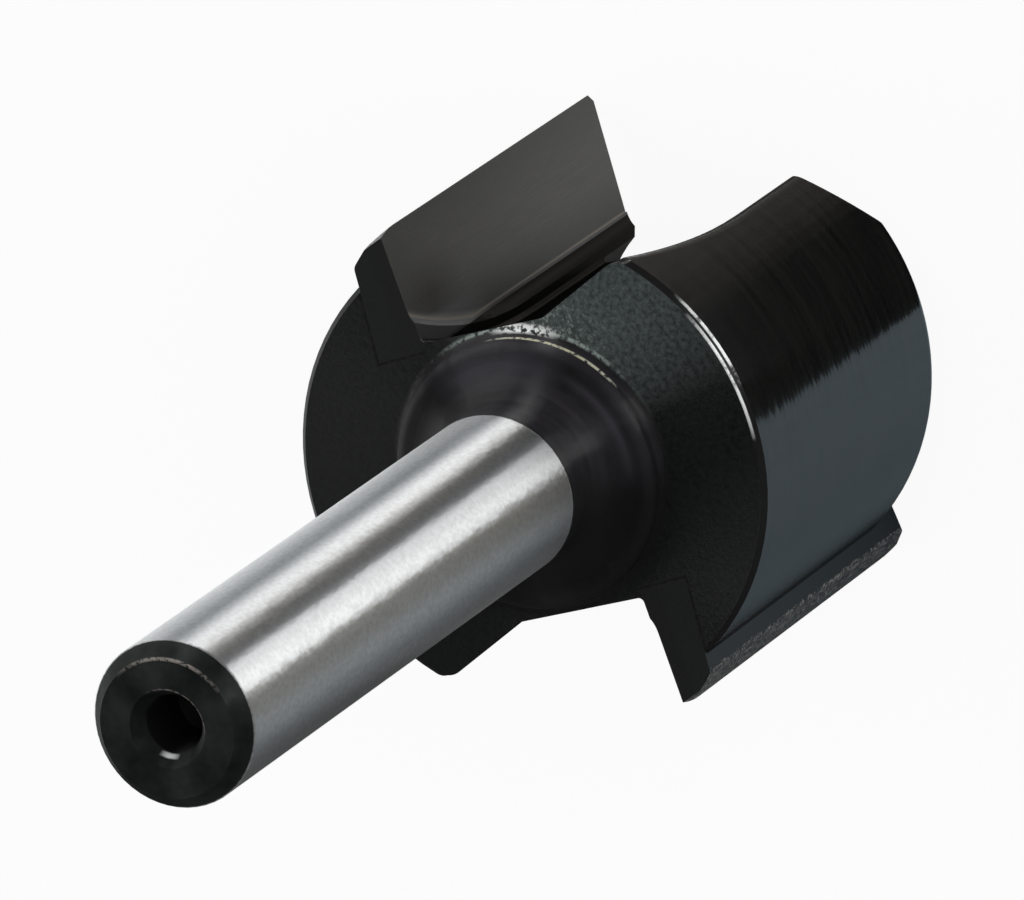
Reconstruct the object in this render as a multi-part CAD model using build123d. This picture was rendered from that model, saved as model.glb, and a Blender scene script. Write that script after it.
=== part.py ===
from build123d import *
from math import cos, hypot, radians, sin, sqrt, tan
import os

os.makedirs("parts", exist_ok=True)

# Grooving router bit: a turned steel body with a round shank, two straight
# flutes and two brazed carbide tips. It stands on its cutting end, with the
# axis along Z. The cutting edge of the first tip lies on +X. Seen from the
# shank the bit turns clockwise, so the first tip's rake face looks to -Y.

# Turned body
shank_d = 6.0
overall_length = 50.0
shank_chamfer_length = 0.65
shank_face_d = 5.0
shoulder_z = 19.0
rim_chamfer = 0.18
shank_root_radius = 1.3
collar_flat = 0.3
collar_edge_radius = 0.4
collar_height = 0.8
collar_foot_radius = 0.35
end_face_z = 0.45
end_rim_width = 1.2
end_edge_radius = 0.4
end_cone_angle = 45.0
end_cone_radius = 0.6

# Centre hole in the shank's end
centre_hole_d = 2.1
countersink_d = 2.8
countersink_angle = 60.0
centre_hole_depth = 3.2
drill_point_angle = 118.0

# Carbide tips
tip_count = 2
cutting_d = 20.0
tip_projection = 1.0
tip_depth = 4.5
tip_edge_thickness = 1.35
tip_heel_radius = 0.35
hook_angle = 15.0
seat_wedge_angle = 5.0
land_width = 0.76
land_relief_angle = 11.0
back_relief_angle = 24.0
end_dish_angle = 7.6
end_relief_angle = 30.0
end_relief_width = 1.4
end_heel_angle = 80.0
end_heel_radius = 0.6
corner_chamfer = 0.3
shank_corner_radius = 5.0
shank_corner_length = 1.3
braze_gap = 0.1

# Flutes
milled_step = 0.12
flute_corner_radius = 0.2
floor_lean = 3.0
floor_distance = 3.96
floor_runout_radius = 28.5
wall_facing = 5.9
wall_distance = 2.79
wall_runout_radius = 32.0
runout_start_z = 10.35
heel_edge_radius = 0.45

# Rake face grinding
grind_depth = 5.1
grind_wheel_radius = 23.0
grind_corner_radius = 1.1
grind_height = 0.3

# Turned recess in the cutting end
recess_d = 9.8
recess_depth = 3.5
recess_corner_radius = 0.5
recess_mouth_chamfer = 0.3

# Flat bevel that takes the heel's corner off at the cutting end
bevel_facing = -45.0
bevel_slope = 52.0
bevel_distance = 4.34

# Room that a cutter runs past the metal, and how near counts as touching
overrun = 1.0
touching = 0.001

shank_r = shank_d / 2
collar_r = shank_r + shank_root_radius + collar_flat + collar_edge_radius
cutting_r = cutting_d / 2
body_r = cutting_r - tip_projection
collar_z = shoulder_z + collar_height
cutter_top = shoulder_z + overrun
reach = cutting_d
hook = radians(hook_angle)


def rake_frame(z):
    """Plane across the axis: X runs down the rake face, Y behind it, and depth goes down."""
    down_the_rake = (-cos(hook), sin(hook), 0)
    return Plane(origin=(cutting_r, 0, z), x_dir=down_the_rake, z_dir=(0, 0, -1))


def across_rake(points, top, bottom):
    """Prism between two heights over an outline given on the rake frame."""
    with BuildPart() as prism:
        with BuildSketch(rake_frame(top)):
            with BuildLine():
                Polyline(*points, close=True)
            make_face()
        extrude(amount=top - bottom)
    return prism.part


def turned_body():
    """The body as it leaves the lathe, with the centre hole in the shank's end."""
    recess_r = recess_d / 2
    rim_r = recess_r + end_rim_width
    cone_top = end_face_z + (body_r - rim_r) / tan(radians(end_cone_angle))
    hole_r = centre_hole_d / 2
    sink_r = countersink_d / 2
    sink_depth = (sink_r - hole_r) / tan(radians(countersink_angle / 2))
    point_depth = hole_r / tan(radians(drill_point_angle / 2))
    recess_top = end_face_z + recess_depth
    outline = [
        ((0, recess_top), 0),
        ((recess_r, recess_top), recess_corner_radius),
        ((recess_r, end_face_z + recess_mouth_chamfer), 0),
        ((recess_r + recess_mouth_chamfer, end_face_z), 0),
        ((rim_r, end_face_z), end_edge_radius),
        ((body_r, cone_top), end_cone_radius),
        ((body_r, shoulder_z - rim_chamfer), 0),
        ((body_r - rim_chamfer, shoulder_z), 0),
        ((collar_r, shoulder_z), collar_foot_radius),
        ((collar_r, collar_z), collar_edge_radius),
        ((shank_r, collar_z), shank_root_radius),
        ((shank_r, overall_length - shank_chamfer_length), 0),
        ((shank_face_d / 2, overall_length), 0),
        ((sink_r, overall_length), 0),
        ((hole_r, overall_length - sink_depth), 0),
        ((hole_r, overall_length - centre_hole_depth), 0),
        ((0, overall_length - centre_hole_depth - point_depth), 0),
    ]
    points = [point for point, radius in outline]
    radii = [radius for point, radius in outline]
    with BuildPart() as body:
        with BuildSketch(Plane.XZ):
            with BuildLine():
                FilletPolyline(*points, radius=radii, close=True)
            make_face()
        revolve(axis=Axis.Z)
    return body.part


def side_distance(distance, runout_radius, z):
    """How far a side of a flute lies from the axis at a height.

    It keeps its distance up to the run-out, where it leaves on the cutter's arc.
    """
    rise = max(z - runout_start_z, 0)
    return distance + runout_radius - sqrt(runout_radius**2 - rise**2)


def flute_side(facing, distance, runout_radius):
    """All that lies beyond one side of a flute, which faces outwards at an angle round the axis."""
    outwards = (cos(radians(facing)), sin(radians(facing)), 0)
    sideways = (sin(radians(facing)), -cos(radians(facing)), 0)
    top_distance = side_distance(distance, runout_radius, cutter_top)
    with BuildPart() as side:
        with BuildSketch(Plane(origin=(0, 0, 0), x_dir=outwards, z_dir=sideways)):
            with BuildLine():
                foot = Line((distance, -overrun), (distance, runout_start_z))
                TangentArc(foot @ 1, (top_distance, cutter_top), tangent=foot % 1)
                Polyline(
                    (top_distance, cutter_top),
                    (reach, cutter_top),
                    (reach, -overrun),
                    (distance, -overrun),
                )
            make_face()
        extrude(amount=reach, both=True)
    return side.part


def floor_facing():
    """Angle round the axis that the flute's floor faces."""
    return -hook_angle - floor_lean


def ahead_of_rake(setback):
    """All that lies in front of the rake face by at least the setback."""
    outline = [
        (-reach, -setback),
        (2 * reach, -setback),
        (2 * reach, -2 * reach),
        (-reach, -2 * reach),
    ]
    return across_rake(outline, cutter_top, -overrun)


def flute_cutter():
    """One flute: the milled front face, the floor and the wall up to the heel."""
    floor = flute_side(floor_facing(), floor_distance, floor_runout_radius)
    wall = flute_side(wall_facing, wall_distance, wall_runout_radius)
    cutter = floor & wall & ahead_of_rake(milled_step)
    inner_corner = [edge for edge in cutter.edges() if runs_down_the_front(edge)]
    return fillet(inner_corner, flute_corner_radius)


def runs_down_the_front(edge):
    """Whether an edge is the corner between a flute's front face and its floor."""
    front = rake_frame(0)
    places = [front.to_local_coords(edge @ share) for share in (0, 0.5, 1)]
    return all(abs(place.Y + milled_step) < touching and place.X > 0 for place in places)


def on_a_flute_wall(place):
    """Whether a place on the body lies on the wall of one of the flutes."""
    wall = side_distance(wall_distance, wall_runout_radius, place.Z)
    for number in range(tip_count):
        facing = radians(wall_facing + number * 360 / tip_count)
        if abs(place.X * cos(facing) + place.Y * sin(facing) - wall) < touching:
            return True
    return False


def runs_up_a_heel(edge):
    """Whether an edge is the corner between a flute's wall and the body's side or rim."""
    places = [edge @ share for share in (0, 0.5, 1)]
    rim = body_r - rim_chamfer - touching
    return all(hypot(place.X, place.Y) > rim and on_a_flute_wall(place) for place in places)


def seat_back(depth):
    """How far the back of a tip lies behind the rake face at a depth down it."""
    return tip_edge_thickness + depth * tan(radians(seat_wedge_angle))


def seat_cutter():
    """The pocket that a tip is brazed into, with room for the braze."""
    bottom = tip_depth + braze_gap
    outer = -tip_depth
    outline = [
        (outer, -milled_step),
        (bottom, -milled_step),
        (bottom, seat_back(bottom) + braze_gap),
        (outer, seat_back(outer) + braze_gap),
    ]
    return across_rake(outline, cutter_top, -overrun)


def wheel_cutter():
    """The pass of the wheel that grinds the rake face and runs out towards the shank."""
    flat_end = grind_depth + wheel_shoulder() - grind_corner_radius
    rise = grind_corner_radius - grind_height
    crown = flat_end + sqrt(grind_corner_radius**2 - rise**2)
    with BuildPart() as wheel:
        with BuildSketch(rake_frame(runout_start_z)) as section:
            with BuildLine():
                RadiusArc((flat_end, 0), (crown, -grind_height), grind_corner_radius)
                Polyline((crown, -grind_height), (-overrun, -grind_height), (-overrun, 0), (flat_end, 0))
            make_face()
        extrude(amount=runout_start_z + overrun)
        frame = rake_frame(runout_start_z)
        hub = frame.from_local_coords((grind_depth - grind_wheel_radius, 0, 0))
        revolve(section.sketch, axis=Axis(hub, frame.y_dir), revolution_arc=90)
    return wheel.part


def wheel_shoulder():
    """How far the wheel's corner reaches past the line that it leaves on the milled step."""
    rise = grind_corner_radius - milled_step
    return grind_corner_radius - sqrt(grind_corner_radius**2 - rise**2)


def bevel_cutter():
    """The flat bevel that slopes up from the end face towards a flute's heel."""
    outwards = (cos(radians(bevel_facing)), sin(radians(bevel_facing)), 0)
    sideways = (sin(radians(bevel_facing)), -cos(radians(bevel_facing)), 0)
    slope = tan(radians(bevel_slope))
    low = bevel_distance - (end_face_z + overrun) / slope
    high_z = end_face_z + (reach - bevel_distance) * slope
    with BuildPart() as bevel:
        with BuildSketch(Plane(origin=(0, 0, 0), x_dir=outwards, z_dir=sideways)):
            with BuildLine():
                Polyline((low, -overrun), (reach, -overrun), (reach, high_z), close=True)
            make_face()
        extrude(amount=reach, both=True)
    return bevel.part & ahead_of_rake(milled_step)


def tip_blank():
    """A tip as it is brazed, before its end and its rake face are ground."""
    wedge = radians(90 - hook_angle - land_relief_angle)
    back = radians(90 - hook_angle - back_relief_angle)
    land = (land_width * cos(wedge), land_width * sin(wedge))
    seat_slope = tan(radians(seat_wedge_angle))
    run = (seat_back(land[0]) - land[1]) / (tan(back) - seat_slope)
    heel = (land[0] + run, land[1] + run * tan(back))
    corners = [
        ((0, 0), 0),
        ((0, -milled_step), 0),
        ((tip_depth, -milled_step), 0),
        ((tip_depth, seat_back(tip_depth)), 0),
        (heel, tip_heel_radius),
        (land, 0),
    ]
    points = [point for point, radius in corners]
    radii = [radius for point, radius in corners]
    with BuildPart() as blank:
        with BuildSketch(rake_frame(shoulder_z)):
            with BuildLine():
                FilletPolyline(*points, radius=radii, close=True)
            make_face()
        extrude(amount=shoulder_z)
    return blank.part


def ring_cutter(outline_edges):
    """A ring turned round the axis from a closed outline."""
    with BuildPart() as ring:
        with BuildSketch(Plane.XZ):
            with BuildLine():
                add(outline_edges)
            make_face()
        revolve(axis=Axis.Z)
    return ring.part


def shank_corner_ring():
    """What grinding takes off the shank end of a cutting edge, on an arc."""
    start_z = shoulder_z - shank_corner_length
    eased_r = cutting_r - shank_corner_radius + sqrt(shank_corner_radius**2 - shank_corner_length**2)
    with BuildLine(Plane.XY) as outline:
        RadiusArc((cutting_r, start_z), (eased_r, shoulder_z), -shank_corner_radius)
        Polyline(
            (eased_r, shoulder_z),
            (eased_r, cutter_top),
            (reach, cutter_top),
            (reach, start_z),
            (cutting_r, start_z),
        )
    return ring_cutter(outline.edges())


def end_corner_ring():
    """What grinding takes off the corner between a cutting edge and the end."""
    with BuildLine(Plane.XY) as outline:
        Polyline(
            (cutting_r - corner_chamfer - overrun, -overrun),
            (cutting_r + overrun, corner_chamfer + overrun),
            (cutting_r + overrun, -overrun),
            close=True,
        )
    return ring_cutter(outline.edges())


def end_grind():
    """All that the end grinding takes off a tip, below its dished and relieved end face.

    The face slopes up behind the cutting edge and turns up on an arc at the heel.
    """
    frame = rake_frame(0)
    corner = frame.from_local_coords((corner_chamfer / cos(hook), 0, 0))
    up_the_dish = -frame.x_dir - Vector(0, 0, tan(radians(end_dish_angle)))
    slope = tan(radians(end_relief_angle))
    heel_slope = tan(radians(end_heel_angle))
    bend = (end_relief_width, end_relief_width * slope)
    heel_end = (bend[0] + reach / heel_slope, bend[1] + reach)
    outline = [
        ((-overrun, -overrun * slope), 0),
        (bend, end_heel_radius),
        (heel_end, 0),
        ((reach, heel_end[1]), 0),
        ((reach, -reach), 0),
        ((-overrun, -reach), 0),
    ]
    points = [point for point, radius in outline]
    radii = [radius for point, radius in outline]
    with BuildPart() as waste:
        with BuildSketch(Plane(origin=corner, x_dir=frame.y_dir, z_dir=up_the_dish)):
            with BuildLine():
                FilletPolyline(*points, radius=radii, close=True)
            make_face()
        extrude(amount=reach, both=True)
    return waste.part


flute = flute_cutter()
wheel = wheel_cutter()
bevel = bevel_cutter()
seat = seat_cutter()
blank = tip_blank()
lathe_body = turned_body()

tip = blank - shank_corner_ring() - end_corner_ring() - wheel - end_grind()
seam = (seat & lathe_body) - blank - flute - bevel - wheel

steel_body = lathe_body
for number in range(tip_count):
    turn = Rot(0, 0, number * 360 / tip_count)
    steel_body = steel_body - turn * flute - turn * bevel - turn * seat - turn * wheel
    export_step(turn * tip, f"parts/carbide_tip_{number + 1}.step")
    export_step(turn * seam, f"parts/braze_seam_{number + 1}.step")

heels = [edge for edge in steel_body.edges() if runs_up_a_heel(edge)]
steel_body = fillet(heels, heel_edge_radius)
export_step(steel_body, "parts/steel_body.step")
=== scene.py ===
# %% [markdown]
# # A grooving router bit, dressed for its photograph
#
# A grooving bit is a small steel turning: a bright ground shank that a router's
# collet grips, and a black head with two straight flutes. A plate of tungsten
# carbide is brazed beside each flute and ground sharp. The shapes come from the
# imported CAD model, so this file adds what the eye sees on them: how each surface
# was cut, ground, blackened or brazed, and the light that shows it.

import math

import bpy
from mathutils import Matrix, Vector

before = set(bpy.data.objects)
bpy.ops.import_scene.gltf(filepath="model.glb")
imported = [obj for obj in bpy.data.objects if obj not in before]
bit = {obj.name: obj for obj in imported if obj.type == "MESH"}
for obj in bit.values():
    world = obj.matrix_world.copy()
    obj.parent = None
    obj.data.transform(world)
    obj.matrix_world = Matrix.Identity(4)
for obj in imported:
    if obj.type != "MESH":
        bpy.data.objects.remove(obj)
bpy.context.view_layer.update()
print("nodes:", sorted(bit))

# %% [markdown]
# Everything below is in metres, but a toolmaker thinks in millimetres, so one
# number turns one into the other. Colours are written as sRGB hex values, the way
# a colour picker shows them, and one function turns them into the linear light
# that the renderer works in.

# %% Millimetres, and colours from hex
MM = 0.001


def colour(hex_code):
    """A hex colour as linear red, green, blue and an alpha of 1."""
    values = [int(hex_code[i:i + 2], 16) / 255 for i in (0, 2, 4)]
    linear = [v / 12.92 if v <= 0.04045 else ((v + 0.055) / 1.055) ** 2.4 for v in values]
    return (*linear, 1.0)


print("mid grey in linear light:", round(colour("808080")[0], 3))

# %% [markdown]
# ## The camera
#
# The photograph looks down on the bit from the shank's side, from far away with a
# long lens, so the head is hardly smaller than the shank's end. The camera is
# rolled until the shank points to the lower left. Its place was found by fitting
# the circles of the shank, the collar and the body to the picture.

# %% Camera
camera_data = bpy.data.cameras.new("photo_camera")
camera_data.lens = 580.36
camera_data.sensor_width = 36
camera_data.clip_start = 0.05
camera_data.clip_end = 20
camera = bpy.data.objects.new("photo_camera", camera_data)
bpy.context.scene.collection.objects.link(camera)
camera.location = Vector((14.307, -285.587, 530.150)) * MM
camera.rotation_euler = [math.radians(turn) for turn in (-17.8606, 23.5409, -126.2285)]
bpy.context.scene.camera = camera

view_azimuth = math.degrees(math.atan2(camera.location.y, camera.location.x))
print("the camera stands", round(camera.location.length, 3), "m from the bit's foot")

# %% [markdown]
# ## The studio
#
# The bit stands on its cutting end on a large sheet of white paper. Places in the
# studio are easiest to give as seen from the bit: so many degrees to the camera's
# right, so many degrees up, so far away. One small function adds a shader node with
# its settings and links, because every material below is a net of nodes.

# %% A place round the bit
def round_the_bit(azimuth, elevation, distance):
    """A point seen from the bit: degrees to the camera's right, degrees up, metres away."""
    turn = math.radians(view_azimuth + azimuth)
    rise = math.radians(elevation)
    flat = math.cos(rise) * distance
    return Vector((flat * math.cos(turn), flat * math.sin(turn), math.sin(rise) * distance))


print("a lamp in front, 45 degrees up:", [round(c, 2) for c in round_the_bit(0, 45, 1)])

# %% A node, and a material to put it in
def node(tree, kind, settings=None, links=None):
    """Adds a node. Settings go on its sockets or on the node; links bring outputs in."""
    made = tree.nodes.new(kind)
    for name, value in (settings or {}).items():
        if isinstance(name, int) or name in made.inputs:
            made.inputs[name].default_value = value
        else:
            setattr(made, name, value)
    for name, source in (links or {}).items():
        tree.links.new(source, made.inputs[name])
    return made


def new_material(name):
    """An empty material, its tree and its output node."""
    material = bpy.data.materials.new(name)
    material.use_nodes = True
    material.node_tree.nodes.clear()
    output = material.node_tree.nodes.new("ShaderNodeOutputMaterial")
    return material, material.node_tree, output


# %% [markdown]
# White paper could be lit until it turns white, but that light would wash out the
# bit too. Here most of the paper's white is its own, for the camera and for what
# metal mirrors, and the rest is matt, so that it still takes the bit's soft shadow.

# %% Paper sheet
PAPER_OWN_LIGHT = 0.92

bpy.ops.object.select_all(action="DESELECT")
bpy.ops.mesh.primitive_plane_add(size=6, location=(0, 0, 0))
paper = bpy.context.object
paper.name = "paper_sheet"
paper_look, tree, output = new_material("white_paper")
rays = node(tree, "ShaderNodeLightPath")
seen = rays.outputs["Is Camera Ray"]
for kind in ("Is Glossy Ray", "Is Transmission Ray"):
    ways = {0: seen, 1: rays.outputs[kind]}
    seen = node(tree, "ShaderNodeMath", {"operation": "MAXIMUM"}, ways).outputs[0]
share = node(tree, "ShaderNodeMath", {"operation": "MULTIPLY", 1: PAPER_OWN_LIGHT}, {0: seen})
matt = node(tree, "ShaderNodeBsdfDiffuse", {"Color": colour("F4F4F4")})
white = node(tree, "ShaderNodeEmission", {"Color": colour("FFFFFF"), "Strength": 1.0})
parts = {0: share.outputs[0], 1: matt.outputs[0], 2: white.outputs[0]}
blend = node(tree, "ShaderNodeMixShader", None, parts)
tree.links.new(blend.outputs[0], output.inputs["Surface"])
paper.data.materials.append(paper_look)
print("paper sheet:", [round(side, 1) for side in paper.dimensions.xy], "m")

# %% [markdown]
# Metal shows its surroundings more than itself. The camera looks steeply down, so
# the bit's upright walls mirror the paper near its foot, and a round wall turns a
# reflection twice as far as its own direction: what the shank shows 30 degrees to
# the right of its nearest line lies 60 degrees to the right of the camera. So cards
# are laid on the paper like a fan. The inner fan, close to the head, shows only in
# the head's side and gives it a black and a blue-grey part. The outer one shows only
# in the shank, where its white strips draw the bright bands of ground steel. Their
# tones were set by trial, until the bands in the render came near the photograph's.
# The camera and matt surfaces see plain paper.

# %% Cards for the reflections
HEAD_R, SHANK_R = 9.0, 3.0
CARD_TURN = 4
CARD_LIFT = 0.2 * MM


def reflected(turn, wall, run):
    """Where the paper shows in a round wall: the wall's direction in degrees,
    its radius, and how far out the paper is met, both in mm."""
    on_wall = round_the_bit(turn, 0, wall * MM)
    return (on_wall + round_the_bit(2 * turn, 0, run * MM)).to_2d()


def fan(name, wall, near, far, stops):
    """Flat cards just above the paper that only reflections see. A stop is a
    direction of the wall in degrees, a tone and a glow; between two stops the tone
    goes over in small steps."""
    count = 0
    for (start, first, first_glow), (end, last, last_glow) in zip(stops, stops[1:]):
        steps = max(1, round((end - start) / CARD_TURN))
        for step in range(steps):
            share = (step + 0.5) / steps
            pairs = zip(colour(first), colour(last))
            shown = [a * first_glow * (1 - share) + b * last_glow * share for a, b in pairs]
            turns = [start + (end - start) * (step + part / 4) / steps for part in range(5)]
            outline = [reflected(turn, wall, far) for turn in turns]
            outline += [reflected(turn, wall, near) for turn in reversed(turns)]
            corners = [(*corner, CARD_LIFT) for corner in outline]
            mesh = bpy.data.meshes.new(name)
            mesh.from_pydata(corners, [], [list(range(len(corners)))])
            card = bpy.data.objects.new(f"{name}_card_{count}", mesh)
            bpy.context.scene.collection.objects.link(card)
            look, tree, output = new_material(card.name)
            light = node(tree, "ShaderNodeEmission", {"Color": (*shown[:3], 1.0), "Strength": 1.0})
            tree.links.new(light.outputs[0], output.inputs["Surface"])
            card.data.materials.append(look)
            card.visible_camera = card.visible_diffuse = card.visible_shadow = False
            count += 1
    return count


# %% The inner fan, for the head's side
inner_stops = [
    (-90, "272A2C", 1), (-78, "2C3033", 1), (-72, "4A5358", 1), (-66, "606B71", 1),
    (-54, "727F86", 1), (-48, "7E8B92", 1), (-36, "95A4AC", 1), (-26, "A1B1BA", 1),
    (-21.5, "A8B8C1", 1), (-21.4, "1D1D1E", 1), (3, "212121", 1), (6, "343332", 1),
    (12, "66625E", 1), (20, "807C77", 1), (45, "8C8782", 1)]
print("cards for the head:", fan("inner", HEAD_R, -2, 15, inner_stops))

# %% The outer fan, for the shank
outer_stops = [
    (-90, "5E6467", 1), (-84, "4A5053", 1), (-76, "2E3335", 1), (-66, "1A1D1E", 1),
    (-56, "131516", 1), (-50, "25292B", 1), (-40, "6C757A", 1), (-30, "BAC1C5", 1),
    (-22, "9C9C98", 1), (-17, "9C9890", 1), (-9.3, "A29E94", 1), (-9.2, "FFFFFF", 2.1),
    (0, "FFFFFF", 2.4), (8.3, "FCFDFF", 2.6), (8.4, "6A6E76", 1), (14, "6A6969", 1),
    (23.4, "7A756A", 1), (23.5, "FFFDFA", 2.7), (33.0, "FBFDFF", 2.6), (33.1, "66707A", 1),
    (50, "98A0A5", 1), (56, "A8AFB4", 1), (61, "FBFDFF", 1.0), (66, "FBFDFF", 1.8),
    (88, "FBFDFF", 2.0)]
print("cards for the shank:", fan("outer", SHANK_R, 20, 300, outer_stops))

# %% [markdown]
# The lamps are wide soft boxes placed round the bit. Those in front and at the sides
# draw pale bands where a surface turns upwards, such as the collar's edge. The two
# fills stand for the bright room: matt surfaces take their light until a colour
# renders about as it is written, and no surface mirrors them.

# %% Soft boxes
def soft_box(name, azimuth, elevation, distance, width, height, radiance):
    """A soft box that faces the bit; radiance 1 looks white."""
    data = bpy.data.lights.new(name, "AREA")
    data.shape = "RECTANGLE"
    data.size, data.size_y = width, height
    data.energy = radiance * math.pi * width * height
    lamp = bpy.data.objects.new(name, data)
    bpy.context.scene.collection.objects.link(lamp)
    lamp.location = round_the_bit(azimuth, elevation, distance)
    lamp.rotation_euler = (-lamp.location).to_track_quat("-Z", "Y").to_euler()
    lamp.visible_camera = False
    return lamp


soft_box("key_box", 104, 30, 0.9, 0.60, 0.75, 1.5)
soft_box("front_strip", -8, 8, 0.7, 0.20, 0.18, 5.0)
soft_box("side_strip", 62, 8, 0.7, 0.20, 0.18, 5.0)
soft_box("back_box", 158, 22, 0.9, 0.60, 0.45, 2.2)
fill = soft_box("room_fill", -10, 48, 1.2, 1.7, 1.5, 1.5)
back_fill = soft_box("room_fill_back", 172, 14, 1.2, 1.7, 0.9, 0.9)
fill.visible_glossy = back_fill.visible_glossy = False
print("soft boxes:", len(bpy.data.lights))

# %% Air of the room
world = bpy.data.worlds.new("studio_air")
bpy.context.scene.world = world
world.use_nodes = True
air = world.node_tree.nodes["Background"]
air.inputs["Color"].default_value = colour("FFFFFF")
air.inputs["Strength"].default_value = 0.12
bpy.context.scene.view_settings.view_transform = "Standard"
print("room light:", round(air.inputs["Strength"].default_value, 2))

# %% [markdown]
# ## Helpers for the materials
#
# Every finish is worked out from the place on the bit, in millimetres from its
# axis and from its cutting end, so that nothing has to be unwrapped. A mask is a
# number that is 1 where a finish lies and 0 elsewhere, and masks are multiplied
# where both must hold. Colours and numbers are then laid over one another, mask by
# mask, as paint would be.

# %% Arithmetic on sockets
def sums(tree, operation, first, second=None, third=None):
    """One step of arithmetic on sockets or plain numbers."""
    made = node(tree, "ShaderNodeMath", {"operation": operation})
    for index, value in enumerate((first, second, third)):
        if isinstance(value, bpy.types.NodeSocket):
            tree.links.new(value, made.inputs[index])
        elif value is not None:
            made.inputs[index].default_value = value
    return made.outputs[0]


def both(tree, *masks):
    """Where every mask is 1."""
    result = masks[0]
    for mask in masks[1:]:
        result = sums(tree, "MULTIPLY", result, mask)
    return result


def either(tree, *masks):
    """Where at least one mask is 1."""
    result = masks[0]
    for mask in masks[1:]:
        result = sums(tree, "MAXIMUM", result, mask)
    return result


# %% Places on the bit
def measures(tree):
    """The place in mm, the distance from the axis, the height and how far the surface faces up."""
    where = node(tree, "ShaderNodeTexCoord").outputs["Object"]
    place = node(tree, "ShaderNodeVectorMath", {"operation": "SCALE", "Scale": 1000.0}, {0: where})
    place = place.outputs[0]
    across = node(tree, "ShaderNodeVectorMath", {"operation": "MULTIPLY", 1: (1, 1, 0)}, {0: place})
    radius = node(tree, "ShaderNodeVectorMath", {"operation": "LENGTH"}, {0: across.outputs[0]})
    height = node(tree, "ShaderNodeSeparateXYZ", None, {0: place})
    facing = node(tree, "ShaderNodeNewGeometry").outputs["True Normal"]
    lean = node(tree, "ShaderNodeSeparateXYZ", None, {0: facing})
    return place, radius.outputs["Value"], height.outputs["Z"], lean.outputs["Z"]


# %% Masks
def ramp(tree, value, start, end, low=0.0, high=1.0):
    """A number that goes from low to high while the value goes from start to end."""
    limits = {"From Min": start, "From Max": end, "To Min": low, "To Max": high}
    return node(tree, "ShaderNodeMapRange", limits, {0: value}).outputs[0]


def zone(tree, value, low, high, soft=0.02):
    """1 where the value lies between two limits, with a soft edge, else 0."""
    rise = ramp(tree, value, low - soft, low + soft)
    fall = ramp(tree, value, high + soft, high - soft)
    return both(tree, rise, fall)


def sector(tree, place, middle, half_width, soft):
    """1 in a sector round the axis; middle is in degrees from +X, as the CAD counts them."""
    turn = math.radians(middle)
    aim = (math.cos(turn), math.sin(turn), 0)
    flat = node(tree, "ShaderNodeVectorMath", {"operation": "MULTIPLY", 1: (1, 1, 0)}, {0: place})
    unit = node(tree, "ShaderNodeVectorMath", {"operation": "NORMALIZE"}, {0: flat.outputs[0]})
    along = node(tree, "ShaderNodeVectorMath", {"operation": "DOT_PRODUCT", 1: aim}, {0: unit.outputs[0]})
    outer = math.cos(math.radians(min(half_width + soft, 180)))
    inner = math.cos(math.radians(max(half_width - soft, 0)))
    return ramp(tree, along.outputs["Value"], outer, inner)


def pattern(tree, place, size, detail=2.0, contrast=(0.35, 0.65), rough=0.5):
    """Cloudy noise from 0 to 1; size is a cell's width in mm along x, y and z."""
    scaled = node(tree, "ShaderNodeVectorMath", {"operation": "DIVIDE", 1: size}, {0: place})
    fineness = {"Scale": 1.0, "Detail": detail, "Roughness": rough}
    noise = node(tree, "ShaderNodeTexNoise", fineness, {0: scaled.outputs[0]})
    return ramp(tree, noise.outputs[0], *contrast)


# %% Layers of colour, numbers and relief
def painted(tree, base, layers):
    """A colour with others laid over it in turn, each where its mask says."""
    over = node(tree, "ShaderNodeRGB")
    over.outputs[0].default_value = colour(base)
    result = over.outputs[0]
    for mask, tone in layers:
        laid = {"data_type": "RGBA", 7: colour(tone)}
        result = node(tree, "ShaderNodeMix", laid, {0: mask, 6: result}).outputs[2]
    return result


def graded(tree, base, layers):
    """A number with others laid over it in turn, each where its mask says."""
    over = node(tree, "ShaderNodeValue")
    over.outputs[0].default_value = base
    result = over.outputs[0]
    for mask, value in layers:
        laid = {"data_type": "FLOAT", 3: value}
        result = node(tree, "ShaderNodeMix", laid, {0: mask, 2: result}).outputs[0]
    return result


def relief(tree, height, depth, mask=None, before=None):
    """A bump from a height pattern, where the mask says; depth is in mm."""
    links = {"Height": height}
    if mask is not None:
        links["Strength"] = mask
    if before is not None:
        links["Normal"] = before
    return node(tree, "ShaderNodeBump", {"Strength": 1.0, "Distance": depth * MM}, links).outputs[0]


# %% [markdown]
# Both tips and the steel beside them are finished by the distance from a cutting
# edge. The rake face leans 15 degrees, the hook angle, so two turned measures are
# used: down the rake face from its edge, and straight behind it. The sign of x tells
# the two tips apart, because one is the other turned half round.

# %% Places on a tip
CUTTING_R = 10.0
HOOK_ANGLE = math.radians(15)


def tip_measures(tree, place):
    """How far a point lies down the rake face and behind it, in mm, on the nearer tip."""
    split = node(tree, "ShaderNodeSeparateXYZ", None, {0: place})
    tip_side = sums(tree, "SIGN", split.outputs["X"])
    out = sums(tree, "ABSOLUTE", split.outputs["X"])
    to_edge = sums(tree, "SUBTRACT", out, CUTTING_R)
    along = sums(tree, "MULTIPLY", split.outputs["Y"], tip_side)
    sine, cosine = math.sin(HOOK_ANGLE), math.cos(HOOK_ANGLE)
    across_down = sums(tree, "MULTIPLY", along, sine)
    out_down = sums(tree, "MULTIPLY", to_edge, cosine)
    down = sums(tree, "SUBTRACT", across_down, out_down)
    across_behind = sums(tree, "MULTIPLY", along, cosine)
    out_behind = sums(tree, "MULTIPLY", to_edge, sine)
    behind = sums(tree, "ADD", across_behind, out_behind)
    return down, behind


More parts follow.
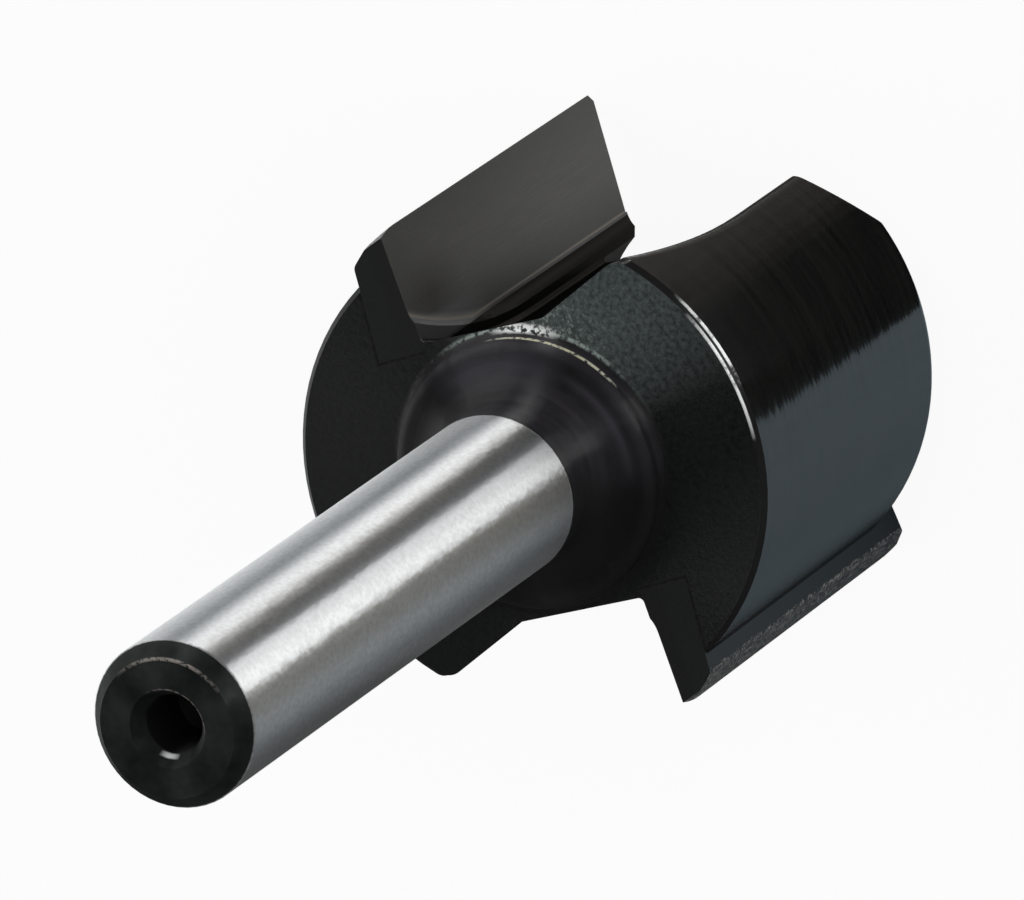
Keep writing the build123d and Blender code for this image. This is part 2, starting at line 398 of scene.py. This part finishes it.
# %% [markdown]
# ## Blackened and ground steel
#
# Such a body is commonly alloy steel, turned in a lathe, its flutes milled, then
# hardened and blackened all over in a hot oxide bath. Only afterwards is the shank
# ground to its size, so its cylinder is bright and its ends stay black. All of it is
# one piece, so it gets one material, and the surfaces are told apart by radius, height
# and which way they face. Separate materials would need the mesh to be cut up.

# %% Steel: where each surface of the turning lies
steel, tree, output = new_material("turned_steel_blackened_and_ground")
place, radius, height, lean = measures(tree)
behind = tip_measures(tree, place)[1]

# The wheel stops short of the collar, and its edge is not quite even
ragged = pattern(tree, place, (0.15, 0.15, 0.15), 2.0, (0.0, 1.0))
ragged_height = sums(tree, "MULTIPLY_ADD", ragged, 0.03, height)
ground = both(tree, zone(tree, ragged_height, 22.3, 49.41, 0.02), zone(tree, radius, 2.9, 3.2))
side = both(tree, zone(tree, radius, 8.96, 9.5, 0.01), zone(tree, height, -1, 18.83, 0.01))
shoulder = both(tree, zone(tree, height, 18.95, 19.06), ramp(tree, lean, 0.85, 0.95))
collar = both(tree, zone(tree, height, 19.03, 22.3), zone(tree, radius, 2.5, 5.3))
# Painted highlight: the paler part of the collar, on one side
pale_collar = both(tree, collar, sector(tree, place, -52, 54, 24))
milled = both(tree, ramp(tree, radius, 8.92, 8.88), ramp(tree, height, 18.9, 18.86))
# Painted shade: a darker band on the head's side next to each tip
shade_beside_tip = both(tree, side, zone(tree, behind, 0.0, 2.3, 0.35))
end = ramp(tree, height, 49.33, 49.36)
print("nodes that find the surfaces:", len(tree.nodes))

# %% [markdown]
# Turning leaves fine rings, so those patterns are long round the head and thin
# along it. Real feed marks are near 0.1 mm apart, the oxide's grain is 0.02 mm and a
# grinding wheel's scratches are finer still. At this picture size none of them would
# show, so they are drawn coarser: rings of 0.26 and 0.6 mm, grains of about 0.2 mm.

# %% Steel: marks
turning = pattern(tree, place, (8.0, 8.0, 0.60), 4.0, (0.3, 0.7), 0.6)
turning_fine = pattern(tree, place, (3.5, 3.5, 0.26), 3.0, (0.35, 0.65), 0.6)
scores = both(tree, side, pattern(tree, place, (2.6, 2.6, 0.24), 3.0, (0.52, 0.74), 0.6))
oxide_grain = pattern(tree, place, (0.20, 0.20, 0.20), 4.0, (0.36, 0.64), 0.7)
blotches = pattern(tree, place, (1.2, 1.2, 1.2), 3.0, (0.3, 0.7), 0.6)
cloud = pattern(tree, place, (2.2, 2.2, 2.2), 2.0)
shank_grain = pattern(tree, place, (0.17, 0.17, 0.22), 3.0, (0.35, 0.65), 0.6)
shank_wave = pattern(tree, place, (0.9, 0.9, 1.4), 2.0, (0.2, 0.8))
print("nodes with the marks:", len(tree.nodes))

# %% [markdown]
# The photograph shows a greenish grey patch on one part of the shoulder, paler
# towards the collar, with bright specks at the collar's foot. It is read as oxide
# that is thin there and worn through in specks, and painted as a colour.

# %% Steel: the thin coat on the shoulder
thin_arc = sector(tree, place, -48, 33, 16)
thin_coat = both(tree, shoulder, thin_arc, ramp(tree, radius, 9.2, 6.6, 0.8, 1.0))
thin_grain = both(tree, thin_coat, oxide_grain)
speckle = pattern(tree, place, (0.12, 0.12, 0.12), 1.0, (0.56, 0.66))
speck_arc = sector(tree, place, -38, 16, 16)
specks = both(tree, shoulder, speck_arc, speckle, ramp(tree, radius, 7.2, 5.4))
print("nodes with the thin coat:", len(tree.nodes))

# %% [markdown]
# Handling wears the oxide off sharp edges first. Each worn line is a narrow ring at
# an edge, cut to an arc and broken up by noise: the foot of the collar, the two edges
# of the rim's chamfer, the collar's edge, and the edges round the shank's end and its
# centre hole. They are colour and not shape, because the edges are already there.
# Each line is worn steel and a painted highlight at once: it is pale only along the
# arc where a highlight falls. The glint at the collar's foot and the spot in the
# centre hole are painted highlights, and so is the paler part of the collar.
# Painted by its place on the bit, all of it stays put when the bit is turned.

# %% Steel: worn edges and painted highlights at the collar's foot
broken = pattern(tree, place, (0.17, 0.17, 0.17), 3.0, (0.42, 0.52), 0.6)
foot = zone(tree, height, 18.9, 19.3)
foot_ring = zone(tree, radius, 5.20, 5.32, 0.04)
foot_outer = both(tree, foot_ring, foot, sector(tree, place, -36, 34, 10), broken)
glint_ring = zone(tree, radius, 5.12, 5.42, 0.05)
# Painted highlight: a glint at the collar's foot
foot_glint = both(tree, glint_ring, foot, sector(tree, place, -33, 8, 7), broken)
inner_ring = both(tree, zone(tree, radius, 4.95, 5.04, 0.02), zone(tree, height, 19.30, 19.46))
foot_inner = both(tree, inner_ring, sector(tree, place, -48, 22, 10), broken)

# %% Steel: worn edges and painted highlights of the rim and the collar
rim_grain = pattern(tree, place, (0.8, 0.8, 0.8), 4.0, (0.36, 0.50), 0.7)
rim_ring = both(tree, zone(tree, height, 18.77, 18.88, 0.01), ramp(tree, radius, 8.9, 8.95))
rim_outer = both(tree, rim_ring, sector(tree, place, -86, 9, 4), rim_grain)
rim_ring = both(tree, zone(tree, radius, 8.77, 8.89, 0.01), ramp(tree, height, 18.94, 18.96))
rim_inner = both(tree, rim_ring, sector(tree, place, -95, 12, 5), rim_grain)
# Painted highlights: a pale line on the collar's edge and a pale patch on its side
collar_ring = both(tree, zone(tree, radius, 4.05, 4.32, 0.13), zone(tree, height, 19.7, 19.95))
collar_line = both(tree, collar_ring, sector(tree, place, -88, 20, 14))
glow_ring = both(tree, zone(tree, radius, 3.7, 4.5, 0.4), sector(tree, place, -20, 20, 18))
collar_glow = both(tree, collar, glow_ring, ramp(tree, cloud, 0.0, 1.0, 0.6, 1.0))

# %% Steel: worn edges and painted highlights of the shank's end
end_ring = both(tree, zone(tree, radius, 2.42, 2.53, 0.02), ramp(tree, height, 49.9, 49.95))
end_line = both(tree, end_ring, sector(tree, place, -38, 34, 20), broken)
hole_ring = both(tree, zone(tree, radius, 1.32, 1.42, 0.02), ramp(tree, height, 49.85, 49.9))
hole_line = both(tree, hole_ring, sector(tree, place, -70, 50, 20), broken)
bore_ring = both(tree, zone(tree, radius, 1.07, 1.18, 0.02), ramp(tree, height, 49.3, 49.35))
# Painted highlight: a glint on the far side of the centre hole
hole_glint = both(tree, bore_ring, sector(tree, place, 138, 10, 9))
wear_and_glints = either(tree, foot_glint, foot_inner, rim_outer, rim_inner, hole_glint)
rubbed_and_glints = either(tree, end_line, hole_line)
print("nodes with the worn edges:", len(tree.nodes))

# %% [markdown]
# The colours are near black, as hot oxide is, with a little brown where the cutter
# marked the flutes and a little blue on the collar. Its paler bluish grey on one side
# is a painted highlight, the darker band beside each tip is painted shade, and the
# worn edges are painted pale only where highlights fall. Bare and ground steel is a
# pale neutral grey. The oxide on the turned side is glassy and mirrors the cards; on
# the shoulder it is dull. Ground steel is fairly rough, so its bands have soft edges.

# %% Steel: colours
tint = painted(tree, "0E0E0E", [
    (side, "070707"),
    (both(tree, side, turning), "0D0D0D"),
    (both(tree, side, turning_fine), "151514"),
    # painted shade beside each tip
    (shade_beside_tip, "141414"),
    (shoulder, "050606"),
    (both(tree, shoulder, blotches), "0B0D0C"),
    (both(tree, shoulder, oxide_grain), "141615"),
    (thin_coat, "2A2F2F"),
    (thin_grain, "4C5453"),
    (specks, "7C8783"),
    (collar, "080708"),
    (both(tree, collar, cloud), "0E0D0F"),
    # painted highlight: paler bluish grey on one side of the collar and along its edge
    (both(tree, pale_collar, cloud), "1C1A1D"),
    (both(tree, pale_collar, turning_fine), "242226"),
    (collar_glow, "34333A"),
    (collar_line, "302E33"),
    (milled, "2B2927"),
    (end, "1F2221"),
    (both(tree, end, blotches), "353937"),
    # worn edges, pale only where highlights fall: wear and painted highlights
    (rubbed_and_glints, "8C8681"),
    (foot_outer, "909C96"),
    (ground, "C3C4C4"),
    (both(tree, ground, shank_grain), "D3D4D4"),
    # worn edges and painted highlights
    (wear_and_glints, "F4F6F5"),
    (foot_inner, "CFCBA8")])
print("nodes with the colours:", len(tree.nodes))

# %% Steel: how metallic and how rough
metal = graded(tree, 0.0, [
    (scores, 0.15), (shade_beside_tip, 1.0), (specks, 0.3), (foot_outer, 0.3), (milled, 1.0),
    (end, 0.7), (rubbed_and_glints, 0.3), (ground, 1.0), (wear_and_glints, 0.25)])
rough = graded(tree, 0.40, [
    (side, 0.095), (shade_beside_tip, 0.35), (shoulder, 0.5), (collar, 0.42), (milled, 0.6),
    (end, 0.5), (ground, 0.39), (wear_and_glints, 0.3)])

# %% [markdown]
# Bumps a few micrometres deep make the marks catch the light. They can't draw the
# torn edge that the dark reflection has on the head in the photograph. That edge is
# read as grooves that each lean a little their own way round the head. So the normal
# itself is swayed round the axis, by up to 4.4 degrees either way, groove by groove,
# and on the shank by up to 1 degree, grain by grain. That is a guess, and probably more
# than real grooves have.

# %% Steel: relief
marks = relief(tree, turning, 0.0011, side)
marks = relief(tree, turning_fine, 0.0003, side, marks)
marks = relief(tree, oxide_grain, 0.006, shoulder, marks)
marks = relief(tree, cloud, 0.03, collar, marks)
marks = relief(tree, blotches, 0.015, end, marks)
marks = relief(tree, shank_wave, 0.006, ground, marks)
marks = relief(tree, shank_grain, 0.0015, ground, marks)

# %% Steel: grooves and grains that lean round the axis
GROOVE_SWAY = 0.155
GRAIN_SWAY = 0.034

round_axis = node(tree, "ShaderNodeTangent", {"direction_type": "RADIAL", "axis": "Z"}).outputs[0]
groove_lean = pattern(tree, place, (4.0, 4.0, 0.13), 3.0, (0.0, 1.0), 0.6)
grooves = sums(tree, "MULTIPLY_ADD", groove_lean, GROOVE_SWAY, -GROOVE_SWAY / 2)
grains = sums(tree, "MULTIPLY_ADD", shank_grain, GRAIN_SWAY, -GRAIN_SWAY / 2)
sway = sums(tree, "ADD", both(tree, side, grooves), both(tree, ground, grains))
swayed = node(tree, "ShaderNodeVectorMath", {"operation": "SCALE"}, {0: round_axis, "Scale": sway})
marks = node(tree, "ShaderNodeVectorMath", {"operation": "ADD"}, {0: marks, 1: swayed.outputs[0]})
marks = node(tree, "ShaderNodeVectorMath", {"operation": "NORMALIZE"}, {0: marks.outputs[0]})

# %% Steel: the shader
# Marks that run round the axis stretch a highlight along it, as the anisotropy does
skin = node(tree, "ShaderNodeBsdfPrincipled", {"Anisotropic": 1.0, "Anisotropic Rotation": 0.25}, {
    "Base Color": tint, "Metallic": metal, "Roughness": rough,
    "Normal": marks.outputs[0], "Tangent": round_axis})
tree.links.new(skin.outputs[0], output.inputs["Surface"])
print("nodes in", steel.name + ":", len(tree.nodes))

# %% [markdown]
# ## Ground tungsten carbide
#
# A tip is sintered from carbide powder, brazed in while rough, and blackened with the
# body. A diamond wheel then grinds it where it cuts: the rake face, the narrow land
# behind the edge and the cutting end. Those faces are a satin dark grey, half metal
# and half ceramic to the eye. The wheel leaves fine lines along the rake. A paler
# curve where it runs out and pale lines along the rake's lower edge and its step are
# painted highlights. The rake is painted darker near its cutting edge, in a patch near
# the shank's end and along its lower edge: painted shade. The land is speckled, drawn
# here as bright crystals.
# Wheel lines are near 0.01 mm and carbide grains smaller, so both are drawn coarser
# here, at 0.05 and about 0.15 mm.

# %% Carbide: where it is ground
carbide, tree, output = new_material("ground_carbide")
place, radius, height, lean = measures(tree)
down, behind = tip_measures(tree, place)
upright = zone(tree, lean, -0.25, 0.6, 0.05)
rake = both(tree, upright, zone(tree, behind, -0.04, 0.025, 0.005))
jagged = pattern(tree, place, (0.25, 0.3, 0.2), 3.0, (0.0, 1.0))
jagged_down = sums(tree, "MULTIPLY_ADD", jagged, 0.3, down)
narrow = both(tree, ramp(tree, behind, 0.03, 0.05), ramp(tree, jagged_down, 1.22, 1.16))
land = both(tree, narrow, upright, ramp(tree, radius, 9.0, 9.1))
cutting_end = ramp(tree, lean, -0.25, -0.3)
ground = either(tree, rake, cutting_end)
print("nodes that find the ground faces:", len(tree.nodes))

# %% Carbide: marks
sinter_grain = pattern(tree, place, (0.06, 0.06, 0.06), 2.0)
wheel_lines = pattern(tree, place, (0.05, 0.05, 2.0), 3.0)
crystals = pattern(tree, place, (0.12, 0.20, 0.12), 3.0, (0.49, 0.58), 0.7)
# Painted shade: the rake is darker near its cutting edge and near the shank's end
near_edge = ramp(tree, down, 1.8, 0.2, 0.0, 0.8)
near_shank = ramp(tree, height, 13.5, 18.0, 0.0, 0.8)
rake_shade = both(tree, rake, either(tree, near_edge, near_shank))
shade_near_shank = both(tree, rake, zone(tree, height, 15.4, 18.2, 1.3), zone(tree, down, 2.2, 3.6, 0.7))
# Painted highlight: a paler curve where the wheel ran out
run_out = both(tree, rake, ramp(tree, down, 3.5, 3.8), ramp(tree, height, 13.0, 17.0))
# Painted shade: darker along the rake's lower edge
low_shade = both(tree, rake, ramp(tree, down, 3.0, 4.3), ramp(tree, height, 15.5, 12.5))
# Painted highlights: pale lines along the rake's lower edge and its step
low_lip = both(tree, rake, ramp(tree, down, 4.40, 4.43), ramp(tree, height, 17.9, 17.3))
step_lip = both(tree, upright, zone(tree, behind, -0.038, -0.012, 0.006))
lip = either(tree, low_lip, step_lip)
print("nodes with the marks:", len(tree.nodes))

# %% Carbide: colours and relief
tint = painted(tree, "0A0B0B", [
    (both(tree, sinter_grain, ramp(tree, behind, 0.5, 0.8)), "0F1211"),
    (ground, "383836"),
    (both(tree, rake, wheel_lines), "403F3D"),
    # painted shade on the rake
    (rake_shade, "2C2C2A"),
    (shade_near_shank, "191713"),
    (low_shade, "242421"),
    # painted highlights
    (run_out, "464547"),
    (lip, "5A554D"),
    (land, "1A1A1B"),
    (both(tree, land, crystals), "8E8C88")])
metal = graded(tree, 0.0, [(ground, 0.5), (land, 0.5)])
rough = graded(tree, 0.42, [(ground, 0.5), (land, 0.4)])
marks = relief(tree, sinter_grain, 0.002)
marks = relief(tree, wheel_lines, 0.001, rake, marks)
marks = relief(tree, crystals, 0.01, land, marks)

# %% Carbide: the shader
skin = node(tree, "ShaderNodeBsdfPrincipled", None, {
    "Base Color": tint, "Metallic": metal, "Roughness": rough, "Normal": marks})
tree.links.new(skin.outputs[0], output.inputs["Surface"])
print("nodes in", carbide.name + ":", len(tree.nodes))

# %% [markdown]
# ## Silver braze
#
# The braze is a film of silver alloy, 0.1 mm thick, drawn into the gap between plate
# and seat by heat. The oxide bath dulls it, so all that shows is a dark satin line
# with a brownish cast in places. It is too thin for relief to show.

# %% Braze
braze, tree, output = new_material("silver_braze")
place = measures(tree)[0]
brownish = pattern(tree, place, (0.2, 0.2, 0.4), 2.0)
tint = painted(tree, "151617", [(brownish, "242321")])
dull = {"Metallic": 0.6, "Roughness": 0.42}
skin = node(tree, "ShaderNodeBsdfPrincipled", dull, {"Base Color": tint})
tree.links.new(skin.outputs[0], output.inputs["Surface"])
print("nodes in", braze.name + ":", len(tree.nodes))

# %% [markdown]
# ## Dressing the bit
#
# Each CAD node keeps its mesh and its place, and gets one material: the body its
# steel, both tips the same carbide and both seams the same braze.

# %% Materials onto the CAD nodes
def dress(name, material):
    """Gives a node of the CAD one material in place of those it came with."""
    slots = bit[name].data.materials
    slots.clear()
    slots.append(material)
    print(name, "is dressed in", material.name)


dress("steel_body", steel)
for number in (1, 2):
    dress(f"carbide_tip_{number}", carbide)
    dress(f"braze_seam_{number}", braze)
